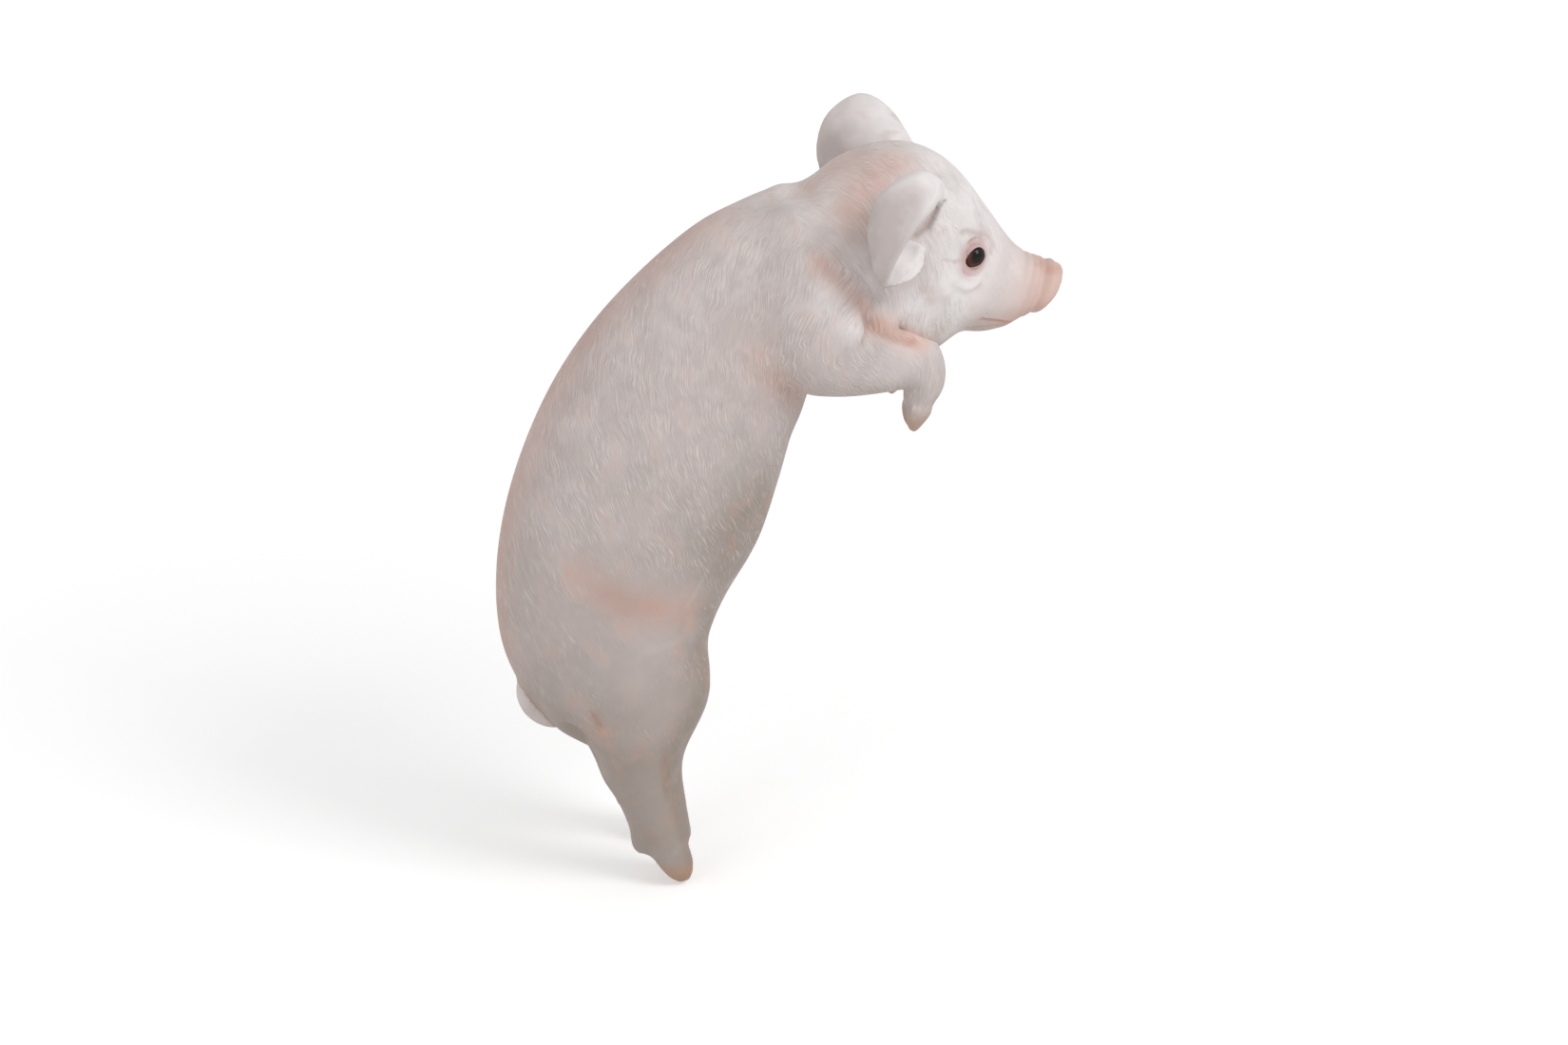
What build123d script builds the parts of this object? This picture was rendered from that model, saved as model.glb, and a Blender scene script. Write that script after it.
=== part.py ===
"""A life-size resin piglet that hangs by its forelegs over the edge of a shelf, fence or pot.

It is slush cast in several moulds and glued up: a hollow trunk and a hollow head that meet at the nape fold,
four solid legs pinned to the trunk with steel dowels, two cupped ears, a short tail and two glass eyes.
The origin is where it hangs: the middle of the edge under both forelegs. +X is the way it looks, +Z is up.
"""

from build123d import *

import os
from math import cos, radians, sin

# Casting
wall = 5.0
glue_gap = 0.25
pin_clearance = 0.15
overrun = 2.0
half_turn = 180

# Trunk, from the rump up to the neck joint
trunk_reach = 138.0
trunk_height = 172.0
trunk_width = 94.0
trunk_depth = 120.0
spigot_length = 8.0
spigot_wall = 3.5

# Head, from the neck joint to the nose
head_length = 124.0
head_width = 77.0
head_depth = 84.0
snout_disc_width = 31.0
snout_disc_height = 27.0
snout_disc_thickness = 5.5
nostril_width = 5.6
nostril_height = 7.5
nostril_depth = 6.0
chin_width = 25.0

# Eyes
eye_diameter = 12.6
eye_back = 2.5
eyelid_thickness = 3.2

# Ears
ear_spread = 38.0
ear_height = 48.0
ear_depth = 34.0
ear_wall = 3.6
ear_rim_over = 160
ear_rim_under = 115
ear_peg_diameter = 5.0
ear_peg_length = 6.0

# Forelegs, which hook over the edge
foreleg_reach = 36.0
foreleg_height = 54.0
foreleg_spread = 34.0
foreleg_thickness = 32.0
fore_toe_length = 12.0

# Hind legs
hindleg_drop = 224.6
hindleg_setback = 89.0
hindleg_spread = 27.0
hindleg_thickness = 62.0
hind_toe_length = 19.0

# Dowels between trunk and legs
dowel_diameter = 5.0
dowel_length = 20.0

# Tail
tail_thickness = 11.0
tail_peg_diameter = 4.0
tail_peg_length = 9.0
tail_peg_lean = 78

# The edge it hangs over
edge_thickness = 42.0
edge_grip = 18.0

SIDES = {"right": -1, "left": 1}


def egg(plane, half_width, upper, lower):
    """One cross-section: two half ellipses that share their widest line."""
    with BuildSketch(plane) as section:
        with BuildLine():
            EllipticalCenterArc((0, 0), half_width, upper, arc_size=half_turn)
            EllipticalCenterArc((0, 0), half_width, lower, half_turn, arc_size=half_turn)
        make_face()
    return section.sketch


def leaning(x, y, z, lean):
    """The plane of a section in the pig's side view, facing up at lean 0 and forwards at lean 90."""
    return Plane((x, y, z), x_dir=(0, 1, 0), z_dir=(sin(radians(lean)), 0, cos(radians(lean))))


def skin(sections):
    """The smooth form through a row of cross-sections."""
    with BuildPart() as form:
        loft(sections)
    return form.part


def biggest(part):
    """The largest body of a cut form, without the crumbs."""
    return max(part.solids(), key=lambda body: body.volume)


# Forward place, height, lean, half width, back and belly, all but the lean as shares
trunk_station_shares = [
    (-0.935, -0.994, 18, 0.130, 0.090, 0.090),
    (-0.920, -0.951, 16, 0.260, 0.180, 0.200),
    (-0.884, -0.852, 12, 0.390, 0.320, 0.325),
    (-0.841, -0.680, 8, 0.463, 0.417, 0.417),
    (-0.730, -0.390, 14, 0.500, 0.500, 0.500),
    (-0.641, -0.198, 24, 0.500, 0.496, 0.496),
    (-0.509, 0.015, 33, 0.480, 0.450, 0.442),
    (-0.368, 0.151, 43, 0.455, 0.417, 0.345),
    (-0.207, 0.276, 50, 0.410, 0.370, 0.340),
    (-0.0725, 0.360, 53, 0.370, 0.283, 0.320),
]


def trunk_section(station, inset=0.0):
    run, rise, lean, width, back, belly = station
    return egg(
        leaning(run * trunk_reach, 0, rise * trunk_height, lean),
        width * trunk_width - inset,
        back * trunk_depth - inset,
        belly * trunk_depth - inset,
    )


def trunk_form(inset=0.0, first=0):
    """The trunk's outer form, or the same form drawn in by an inset."""
    return skin([trunk_section(station, inset) for station in trunk_station_shares[first:]])


neck_run, neck_rise, neck_lean = trunk_station_shares[-1][:3]
neck_x = neck_run * trunk_reach
neck_z = neck_rise * trunk_height

# Forward place and height from the neck joint, lean, half width, crown and jaw
head_station_shares = [
    (0.075, 0.025, 64, 0.465, 0.405, 0.500),
    (0.150, 0.040, 75, 0.485, 0.460, 0.545),
    (0.300, 0.030, 92, 0.500, 0.530, 0.600),
    (0.400, -0.060, 102, 0.490, 0.560, 0.505),
    (0.515, -0.120, 109, 0.400, 0.425, 0.420),
    (0.590, -0.150, 110, 0.330, 0.338, 0.315),
    (0.660, -0.170, 110, 0.265, 0.255, 0.280),
    (0.760, -0.200, 110, 0.215, 0.198, 0.232),
    (0.830, -0.215, 110, 0.200, 0.167, 0.188),
]
hollow_head_stations = 4


def on_head(run, rise):
    """A place in the head's side view, from shares measured from the neck joint."""
    return neck_x + run * head_length, neck_z + rise * head_length


def head_form(inset=0.0, stations=None):
    """The head's outer form from the neck joint to the end of the snout, or drawn in by an inset."""
    sections = [trunk_section(trunk_station_shares[-1], inset)]
    for run, rise, lean, width, crown, jaw in head_station_shares[:stations]:
        x, z = on_head(run, rise)
        sections.append(
            egg(
                leaning(x, 0, z, lean),
                width * head_width - inset,
                crown * head_depth - inset,
                jaw * head_depth - inset,
            )
        )
    return skin(sections)


# Snout disc: place along its axis, then the share of its full size
snout_disc_shares = [(-0.50, 0.90), (-0.10, 1.00), (0.25, 0.99), (0.50, 0.90)]
snout_run_share = 0.852
snout_rise_share = -0.211
snout_lean = 111
nostril_place_shares = (0.20, 0.05)


def snout_disc():
    x, z = on_head(snout_run_share, snout_rise_share)
    centre = leaning(x, 0, z, snout_lean)
    return skin(
        [
            egg(
                centre.offset(along * snout_disc_thickness),
                size * snout_disc_width / 2,
                size * snout_disc_height / 2,
                size * snout_disc_height / 2,
            )
            for along, size in snout_disc_shares
        ]
    )


def nostril(side):
    x, z = on_head(snout_run_share, snout_rise_share)
    front = leaning(x, 0, z, snout_lean).offset(snout_disc_thickness / 2 - nostril_depth)
    out, up = nostril_place_shares
    with BuildPart() as pocket:
        with BuildSketch(front):
            with Locations((side * out * snout_disc_width, up * snout_disc_height)):
                Ellipse(nostril_width / 2, nostril_height / 2)
        extrude(amount=nostril_depth + overrun)
    return pocket.part


# Chin: place from the neck joint, lean, half width and half height
chin_station_shares = [
    (0.470, -0.280, 100, 0.42, 0.30),
    (0.560, -0.310, 100, 0.50, 0.24),
    (0.640, -0.325, 100, 0.42, 0.18),
    (0.690, -0.325, 100, 0.20, 0.09),
]


def chin():
    sections = []
    for run, rise, lean, width, height in chin_station_shares:
        x, z = on_head(run, rise)
        sections.append(
            egg(leaning(x, 0, z, lean), width * chin_width, height * chin_width, height * chin_width)
        )
    return skin(sections)


# Eye: place from the neck joint and sideways share of the head width, and the way it looks
eye_run_share = 0.527
eye_rise_share = 0.004
eye_out_share = 0.345
eye_gaze_shares = (0.34, 0.90, 0.27)
eyelid_seat_share = 0.25


def eye_plane(side, outwards=0.0):
    x, z = on_head(eye_run_share, eye_rise_share)
    ahead, out, up = eye_gaze_shares
    gaze = Plane((x, side * eye_out_share * head_width, z), x_dir=(1, 0, 0), z_dir=(ahead, side * out, up))
    return gaze.offset(outwards)


def eyeball(side, clearance=0.0):
    """A glass eye with a flat back, or the socket for it."""
    radius = eye_diameter / 2 + clearance
    back = eye_back + clearance
    with BuildPart() as ball:
        with Locations(eye_plane(side)):
            Sphere(radius)
        with BuildSketch(eye_plane(side, -back)):
            Circle(radius + overrun)
        extrude(amount=-radius, mode=Mode.SUBTRACT)
    return ball.part


def eyelid(side):
    """The fleshy ring around an eye."""
    with BuildPart() as lid:
        with Locations(eye_plane(side, eyelid_seat_share * eye_diameter)):
            Torus(eye_diameter / 2, eyelid_thickness / 2)
    return lid.part


# Ear from its root to its tip: forward by the ear's depth, outwards by its spread, upwards by its height,
# which way the section faces outwards and upwards, half depth and half height
ear_station_shares = [
    (0.00, 0.00, 0.00, 0.80, 0.52, 0.44, 0.28),
    (-0.14, 0.27, 0.08, 0.88, 0.36, 0.49, 0.39),
    (-0.29, 0.61, 0.11, 0.95, 0.00, 0.50, 0.49),
    (-0.41, 0.87, 0.04, 0.94, -0.34, 0.44, 0.50),
    (-0.49, 0.98, -0.22, 0.83, -0.56, 0.31, 0.31),
    (-0.56, 0.98, -0.37, 0.66, -0.75, 0.18, 0.18),
    (-0.59, 0.93, -0.49, 0.53, -0.85, 0.07, 0.05),
]
ear_facing_share = 0.30
ear_run_share = 0.298
ear_rise_share = 0.178
ear_out_share = 0.350
ear_tip_wall_share = 0.60


def ear_plane(station, side):
    """The plane of an ear section, with its first direction forwards."""
    ahead, out, up, facing_out, facing_up = station[:5]
    x, z = on_head(ear_run_share, ear_rise_share)
    place = Vector(
        x + ahead * ear_depth,
        side * (ear_out_share * head_width + out * ear_spread),
        z + up * ear_height,
    )
    return Plane(place, x_dir=(1, 0, 0), z_dir=(ear_facing_share, side * facing_out, facing_up))


def ear_section(station, side):
    """A crescent, open towards the face, from the upper rim over the back to the lower rim."""
    half_depth = station[5] * ear_depth
    half_height = station[6] * ear_height
    inner_depth = half_depth - min(ear_wall, ear_tip_wall_share * half_depth)
    inner_height = half_height - min(ear_wall, ear_tip_wall_share * half_height)
    start = half_turn - ear_rim_over
    turn = ear_rim_over + ear_rim_under
    with BuildSketch(ear_plane(station, side)) as section:
        with BuildLine():
            outer = EllipticalCenterArc((0, 0), half_depth, half_height, start, arc_size=turn)
            inner = EllipticalCenterArc((0, 0), inner_depth, inner_height, start, arc_size=turn)
            Line(outer @ 0, inner @ 0)
            Line(outer @ 1, inner @ 1)
        make_face()
    return section.sketch


def ear_cup(side):
    """The thin wall of the ear."""
    return skin([ear_section(station, side) for station in ear_station_shares])


def ear_root(side):
    """The floor of the cup, which carries the ear on the head."""
    sections = []
    for station in ear_station_shares[:2]:
        with BuildSketch(ear_plane(station, side)) as section:
            Ellipse(station[5] * ear_depth - ear_wall / 2, station[6] * ear_height - ear_wall / 2)
        sections.append(section.sketch)
    return skin(sections)


def ear_peg(side, clearance=0.0):
    """The peg from the cup's floor into the head, or the hole for it."""
    root, floor = (ear_plane(station, side).origin for station in ear_station_shares[:2])
    with BuildPart() as peg:
        with BuildSketch(Plane(floor, z_dir=root - floor).offset(overrun)):
            Circle(ear_peg_diameter / 2 + clearance)
        extrude(amount=ear_peg_length + clearance)
    return peg.part


# Shoulder as shares of the trunk: forward place, height, sideways place, lean, then the leg's own section
shoulder_station_shares = [
    (-0.275, 0.395, 0.170, 158, 0.36, 0.55, 0.55),
    (-0.196, 0.314, 0.270, 155, 0.50, 0.76, 0.78),
    (-0.123, 0.220, 0.335, 150, 0.54, 0.78, 0.78),
]

# Forearm and paw as shares of the foreleg: forward place, height, sideways place, lean and section
forearm_station_shares = [
    (-0.22, 0.37, 0.96, 122, 0.52, 0.67, 0.67),
    (0.17, 0.265, 0.88, 94, 0.47, 0.49, 0.49),
    (0.60, 0.235, 0.80, 92, 0.41, 0.42, 0.42),
    (0.88, 0.157, 0.77, 128, 0.37, 0.34, 0.36),
    (0.93, -0.055, 0.76, 172, 0.33, 0.28, 0.31),
    (0.86, -0.24, 0.76, 198, 0.30, 0.23, 0.24),
]


def leg_skin(sections, size):
    """The form of a leg from rows of plane, half width, front and back as shares of its thickness."""
    return skin(
        [
            egg(place, width * size, front * size, back * size)
            for place, width, front, back in sections
        ]
    )


def foreleg_form(side):
    sections = []
    for run, rise, out, lean, width, front, back in shoulder_station_shares:
        place = leaning(run * trunk_reach, side * out * trunk_width, rise * trunk_height, lean)
        sections.append((place, width, front, back))
    for run, rise, out, lean, width, front, back in forearm_station_shares:
        place = leaning(run * foreleg_reach, side * out * foreleg_spread, rise * foreleg_height, lean)
        sections.append((place, width, front, back))
    return leg_skin(sections, foreleg_thickness)


# Hip as shares of the trunk: forward place, height, sideways place, lean and section
hip_station_shares = [
    (-0.770, -0.600, 0.200, 176, 0.27, 0.44, 0.34),
    (-0.757, -0.685, 0.245, 176, 0.31, 0.52, 0.40),
    (-0.745, -0.770, 0.285, 176, 0.33, 0.55, 0.44),
]

# Shank as shares of the way from the hip to the foot: forwards, down, sideways place, lean and section
shank_station_shares = [
    (0.134, 0.169, 1.037, 177, 0.330, 0.520, 0.440),
    (0.134, 0.320, 1.048, 177, 0.305, 0.410, 0.410),
    (0.030, 0.474, 1.030, 175, 0.270, 0.340, 0.360),
    (0.237, 0.625, 1.000, 171, 0.235, 0.285, 0.285),
    (0.565, 0.788, 0.970, 167, 0.205, 0.245, 0.245),
    (0.800, 0.904, 0.950, 164, 0.190, 0.220, 0.220),
    (1.000, 1.000, 0.950, 162, 0.180, 0.195, 0.195),
]


def shank_plane(station, side):
    """A section's plane between the last hip section and the foot."""
    run, drop, out, lean = station[:4]
    hip_run, hip_rise = hip_station_shares[-1][:2]
    hip_x = hip_run * trunk_reach
    hip_z = hip_rise * trunk_height
    x = hip_x + run * (-hindleg_setback - hip_x)
    z = hip_z + drop * (-hindleg_drop - hip_z)
    return leaning(x, side * out * hindleg_spread, z, lean)


def hindleg_form(side):
    sections = []
    for run, rise, out, lean, width, front, back in hip_station_shares:
        place = leaning(run * trunk_reach, side * out * trunk_width, rise * trunk_height, lean)
        sections.append((place, width, front, back))
    for station in shank_station_shares:
        width, front, back = station[4:]
        sections.append((shank_plane(station, side), width, front, back))
    return leg_skin(sections, hindleg_thickness)


# One cloven toe: place along its length, sideways, forwards, half width, front and back
toe_station_shares = [
    (-0.45, 0.20, 0.00, 0.18, 0.24, 0.24),
    (0.10, 0.34, 0.02, 0.30, 0.42, 0.40),
    (0.65, 0.32, 0.06, 0.26, 0.32, 0.34),
    (1.00, 0.26, 0.10, 0.12, 0.12, 0.16),
]


def toe(foot, length, splay, foot_width):
    """A hoofed toe that grows from the plane at the end of a leg."""
    sections = []
    for along, out, ahead, width, front, back in toe_station_shares:
        place = Vector(splay * out * foot_width, ahead * foot_width, along * length)
        section_plane = Plane(foot.from_local_coords(place), x_dir=foot.x_dir, z_dir=foot.z_dir)
        sections.append(egg(section_plane, width * foot_width, front * foot_width, back * foot_width))
    return skin(sections)


# Dewclaw: sideways and forwards by the foot's width and along the toe, then its two radii and its length
dewclaw_place_shares = (0.25, -0.30, -0.60)
dewclaw_size_shares = (0.16, 0.06, 0.70)
dewclaw_tilt = -35

# Width of the foot as a share of the leg's thickness
fore_foot_share = 0.60
hind_foot_share = 0.34


def dewclaw(foot, length, splay, foot_width):
    """A small false toe at the back of the foot."""
    out, ahead, along = dewclaw_place_shares
    base, tip, height = dewclaw_size_shares
    root = foot.from_local_coords(Vector(splay * out * foot_width, ahead * foot_width, along * length))
    with BuildPart() as claw:
        with Locations(Plane(root, x_dir=foot.x_dir, z_dir=foot.z_dir).rotated((dewclaw_tilt, 0, 0))):
            Cone(base * foot_width, tip * foot_width, height * length)
    return claw.part


# Tail from its root down over the rump: setback by the trunk's depth, rise, lean and half thickness
tail_station_shares = [
    (0.233, -0.831, 200, 0.45),
    (0.254, -0.872, 186, 0.46),
    (0.246, -0.913, 159, 0.46),
    (0.213, -0.948, 136, 0.43),
    (0.162, -0.974, 126, 0.36),
    (0.125, -0.991, 120, 0.15),
]
rump_run_share = trunk_station_shares[2][0]


def tail_plane(station, lean):
    behind, rise = station[:2]
    return leaning(rump_run_share * trunk_reach - behind * trunk_depth, 0, rise * trunk_height, lean)


def tail_form():
    sections = []
    for station in tail_station_shares:
        lean, thickness = station[2:]
        half = thickness * tail_thickness
        sections.append(egg(tail_plane(station, lean), half, half, half))
    return skin(sections)


def tail_peg(clearance=0.0):
    with BuildPart() as peg:
        with BuildSketch(tail_plane(tail_station_shares[2], tail_peg_lean)):
            Circle(tail_peg_diameter / 2 + clearance)
        extrude(amount=tail_peg_length + clearance)
    return peg.part


# Dowels as shares of the trunk: forward place, height and sideways place of the inner end
dowel_place_shares = {"fore": (-0.150, 0.210, 0.280), "hind": (-0.730, -0.800, 0.230)}


def dowel(limb, side, clearance=0.0):
    """A steel pin between the trunk and a leg, or the hole for it."""
    run, rise, out = dowel_place_shares[limb]
    inner_end = (run * trunk_reach, side * out * trunk_width, rise * trunk_height)
    with BuildPart() as pin:
        with BuildSketch(Plane(inner_end, z_dir=(0, side, 0)).offset(-clearance)):
            Circle(dowel_diameter / 2 + clearance)
        extrude(amount=dowel_length + 2 * clearance)
    return pin.part


def neck_spigot():
    """The ring under the head that slips into the trunk's open neck."""
    with BuildPart() as ring:
        add(trunk_form(wall + glue_gap, first=1))
        add(trunk_form(wall + glue_gap + spigot_wall, first=1), mode=Mode.SUBTRACT)
        with BuildSketch(leaning(neck_x, 0, neck_z, neck_lean).offset(-spigot_length)):
            Circle(trunk_depth)
        extrude(amount=spigot_length, mode=Mode.INTERSECT)
    return ring.part


def on_side(right_body, side):
    """A limb or ear of the right side, mirrored for the left."""
    return right_body if side == SIDES["right"] else mirror(right_body, about=Plane.XZ)


def glued_body():
    """Trunk and head as one form, a glue gap larger all round."""
    with BuildPart() as form:
        add(trunk_form(-glue_gap))
        add(head_form(-glue_gap))
    return form.part


def cut_foreleg(side, body):
    """A foreleg with its toes, trimmed to the trunk and the jowl and flat where it lies on the edge."""
    run, rise, out, lean = forearm_station_shares[-1][:4]
    foot = leaning(run * foreleg_reach, side * out * foreleg_spread, rise * foreleg_height, lean)
    foot_width = fore_foot_share * foreleg_thickness
    with BuildPart() as leg:
        add(foreleg_form(side))
        add(body, mode=Mode.SUBTRACT)
        for splay in (-1, 1):
            add(toe(foot, fore_toe_length, splay, foot_width))
            add(dewclaw(foot, fore_toe_length, splay, foot_width))
        with Locations((0, 0, -edge_grip / 2)):
            Box(edge_thickness, trunk_width * 2, edge_grip, mode=Mode.SUBTRACT)
        add(dowel("fore", side, pin_clearance), mode=Mode.SUBTRACT)
    return biggest(leg.part)


def cut_hindleg(side):
    """A hind leg with its toes, trimmed to the trunk."""
    foot = shank_plane(shank_station_shares[-1], side)
    foot_width = hind_foot_share * hindleg_thickness
    with BuildPart() as leg:
        add(hindleg_form(side))
        add(trunk_form(-glue_gap), mode=Mode.SUBTRACT)
        for splay in (-1, 1):
            add(toe(foot, hind_toe_length, splay, foot_width))
            add(dewclaw(foot, hind_toe_length, splay, foot_width))
        add(dowel("hind", side, pin_clearance), mode=Mode.SUBTRACT)
    return biggest(leg.part)


def cut_ear(side):
    """A cupped ear, trimmed to the head, with the peg that holds it."""
    with BuildPart() as shell:
        add(ear_cup(side))
        add(ear_root(side))
        add(head_form(-glue_gap), mode=Mode.SUBTRACT)
    with BuildPart() as ear_body:
        add(biggest(shell.part))
        add(ear_peg(side))
    return biggest(ear_body.part)


os.makedirs("parts", exist_ok=True)

with BuildPart() as trunk:
    add(trunk_form())
    add(trunk_form(wall, first=1), mode=Mode.SUBTRACT)
    add(tail_peg(pin_clearance), mode=Mode.SUBTRACT)
    for limb in dowel_place_shares:
        for side in SIDES.values():
            add(dowel(limb, side, pin_clearance), mode=Mode.SUBTRACT)

trunk.part.label = "trunk"
export_step(trunk.part, "parts/trunk.step")

with BuildPart() as head:
    add(head_form())
    add(snout_disc())
    add(chin())
    for side in SIDES.values():
        add(eyelid(side))
    add(head_form(wall + spigot_wall, hollow_head_stations), mode=Mode.SUBTRACT)
    add(neck_spigot())
    for side in SIDES.values():
        add(eyeball(side, glue_gap), mode=Mode.SUBTRACT)
        add(nostril(side), mode=Mode.SUBTRACT)
        add(ear_peg(side, pin_clearance), mode=Mode.SUBTRACT)

head.part.label = "head"
export_step(head.part, "parts/head.step")

with BuildPart() as tail:
    add(tail_form())
    add(trunk_form(-glue_gap), mode=Mode.SUBTRACT)
    add(tail_peg())

tail.part.label = "tail"
export_step(tail.part, "parts/tail.step")

with BuildPart() as limb_dowels:
    for limb in dowel_place_shares:
        for side in SIDES.values():
            add(dowel(limb, side))

limb_dowels.part.label = "limb_dowels"
export_step(limb_dowels.part, "parts/limb_dowels.step")

right_foreleg = cut_foreleg(SIDES["right"], glued_body())
right_hindleg = cut_hindleg(SIDES["right"])
right_ear = cut_ear(SIDES["right"])

for name, side in SIDES.items():
    with BuildPart() as foreleg:
        add(on_side(right_foreleg, side))

    foreleg.part.label = f"foreleg_{name}"
    export_step(foreleg.part, f"parts/foreleg_{name}.step")

    with BuildPart() as hindleg:
        add(on_side(right_hindleg, side))

    hindleg.part.label = f"hindleg_{name}"
    export_step(hindleg.part, f"parts/hindleg_{name}.step")

    with BuildPart() as ear:
        add(on_side(right_ear, side))

    ear.part.label = f"ear_{name}"
    export_step(ear.part, f"parts/ear_{name}.step")

    with BuildPart() as eye:
        add(eyeball(side))

    eye.part.label = f"eye_{name}"
    export_step(eye.part, f"parts/eye_{name}.step")
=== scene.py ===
"""Looks of the hanging pig figurine: the painted skin over its castings, its eyes and a plain studio."""

import bmesh
import bpy
import numpy as np
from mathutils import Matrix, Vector
from mathutils.bvhtree import BVHTree


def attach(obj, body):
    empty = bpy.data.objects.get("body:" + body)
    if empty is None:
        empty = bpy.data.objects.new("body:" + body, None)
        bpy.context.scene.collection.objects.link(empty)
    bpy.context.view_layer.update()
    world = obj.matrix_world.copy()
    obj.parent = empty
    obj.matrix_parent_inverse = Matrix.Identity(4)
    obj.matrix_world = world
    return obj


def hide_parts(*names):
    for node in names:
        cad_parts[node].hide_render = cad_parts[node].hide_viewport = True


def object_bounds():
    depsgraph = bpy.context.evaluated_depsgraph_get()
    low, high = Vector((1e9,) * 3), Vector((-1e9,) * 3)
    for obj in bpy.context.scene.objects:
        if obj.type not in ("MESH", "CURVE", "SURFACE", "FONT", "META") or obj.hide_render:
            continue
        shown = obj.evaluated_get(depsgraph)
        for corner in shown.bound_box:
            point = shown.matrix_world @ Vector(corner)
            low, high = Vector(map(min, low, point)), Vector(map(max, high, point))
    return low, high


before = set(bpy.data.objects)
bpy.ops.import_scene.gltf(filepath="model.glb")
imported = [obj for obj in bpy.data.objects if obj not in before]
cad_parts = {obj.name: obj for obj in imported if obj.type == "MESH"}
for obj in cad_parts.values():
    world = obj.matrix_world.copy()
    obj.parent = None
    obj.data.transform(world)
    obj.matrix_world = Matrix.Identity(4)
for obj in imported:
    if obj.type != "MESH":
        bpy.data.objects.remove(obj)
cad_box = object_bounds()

# All sizes below are in millimetres and are turned into metres when a mesh is written
MM = 0.001
SIDES = {"right": -1, "left": 1}

# The photograph's camera, which looks a little down on the pig's right side
PHOTO_WIDTH = 1650
PHOTO_HEIGHT = 1100
CAMERA_PLACE = np.array((-417.3, -2206.5, 786.0))
CAMERA_TARGET = np.array((-28.2, 0.0, -74.1))
CAMERA_LENS = 116.4
SENSOR_WIDTH = 36.0

# The net of the skin: the size of its cells, how far round the eyes it is finer, and how it is smoothed there
VOXEL = 1.2
EYE_NET_REACH = 12.0
REFINED_SMOOTHING = 0.5
REFINED_SMOOTHING_TIMES = 4
EYE_REFINED_SMOOTHING_TIMES = 3

# A line of pixels: how many places are sought for each pixel, and how far its paint reaches in its widths
LINE_DENSITY = 5
LINE_REACH = 3

CASTINGS = ["trunk", "head", "foreleg_right", "foreleg_left", "hindleg_right", "hindleg_left", "tail"]

# How far the skin runs smoothly from one casting into another
BLENDS = {
    ("trunk", "head"): 24.0,
    ("trunk", "foreleg_right"): 20.0,
    ("trunk", "foreleg_left"): 20.0,
    ("head", "foreleg_right"): 20.0,
    ("head", "foreleg_left"): 20.0,
    ("trunk", "hindleg_right"): 34.0,
    ("trunk", "hindleg_left"): 34.0,
    ("trunk", "tail"): 1.5,
    ("head", "ear_right"): 7.0,
    ("head", "ear_left"): 7.0,
}
BLEND_SKIN = 2.0
REACH = 36.0

# How the castings' net is smoothed: how many times, and how strongly on each part
NORMAL_SMOOTHING_TIMES = 12
SMOOTHING_TIMES = 30
BODY_SMOOTHING = 0.5
LEG_SMOOTHING = 0.25
EAR_SMOOTHING = 0.12
SNOUT_SMOOTHING = 0.15
JOIN_SMOOTHING = 0.6
# The painted shade along the tail's seam: its strength and width
TAIL_SEAM_SHADE = 0.8
TAIL_SEAM_SHADE_WIDTH = 2.5

# Where the net is finer: the head ahead of a plane, and the feet below two heights
FACE_START = 24
FORE_FOOT_TOP = 12
HIND_FOOT_TOP = -200

# Ear: rows run from the root to the tip, and each goes from the hood's rim over the back to the lower edge.
# A point is how far ahead of the edge it hangs over, how far out from the middle, and how high.
EAR_NET = [
    [(44, 20, 92), (35, 23, 98), (21, 27, 97), (12, 31, 85), (16, 34, 74), (28, 34, 70)],
    [(42, 34, 96), (36, 40, 104), (21, 45, 108), (8, 47, 97), (9, 46, 78), (29, 40, 68)],
    [(37, 49, 96), (34, 58, 109), (20, 65, 116), (3, 64, 104), (2, 58, 83), (27, 46, 64)],
    [(27, 59, 92), (29, 68, 104), (17, 72, 109), (2, 69, 99), (0, 62, 80), (21, 53, 61)],
    [(15, 62, 79), (18, 70, 89), (11, 73, 93), (2, 69, 85), (2, 61, 72), (15, 57, 60)],
    [(10, 62, 68), (11, 66, 72), (7, 68, 73), (2, 66, 71), (2, 62, 66), (9, 60, 60)],
    [(8, 61, 60), (8, 61, 60), (7, 61, 60), (6, 61, 60), (7, 60.5, 60), (8, 60.5, 60)],
]
EAR_THICKNESS = 3.4
EAR_RIM_THICKNESS = 2.6
EAR_TIP_THINNING = 0.35
EAR_TIP_RUN = (0.75, 1.0)
EAR_ALONG = 44
EAR_ACROSS = 56

# Eye: its middle on the left side, the way it looks, the long direction of its slit, and its sizes
EYE_PLACE = np.array((55.3, 26.6, 62.4))
EYE_GAZE = np.array((0.34, 0.90, 0.27))
EYE_SLIT = np.array((0.77, 0.0, 0.64))
EYE_RADIUS = 6.2
EYE_BACK = 2.5
EYE_HALF_LENGTH = 5.2
EYE_HALF_WIDTH = 3.9
EYE_CORNER_SHIFT = 1.1
EYE_CORNEA = 0.1
EYE_CORNEA_RUN = (0.6, 1.0)
EYE_REAR_SHARE = 0.2
EYE_REAR_RUN = (-2, 3)

# Eyelids: their edge's thickness, how far they reach, where they run out in sizes of the slit, the socket
LID_THICKNESS = 0.7
LID_REACH = 10.5
LID_BEHIND = -5.0
LID_EDGE_RUN = (1.3, 2.4)
LID_RUN = (1.4, 2.4)
SOCKET_DEPTH = 1.7
SOCKET_SMOOTHING_TIMES = 400

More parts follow.
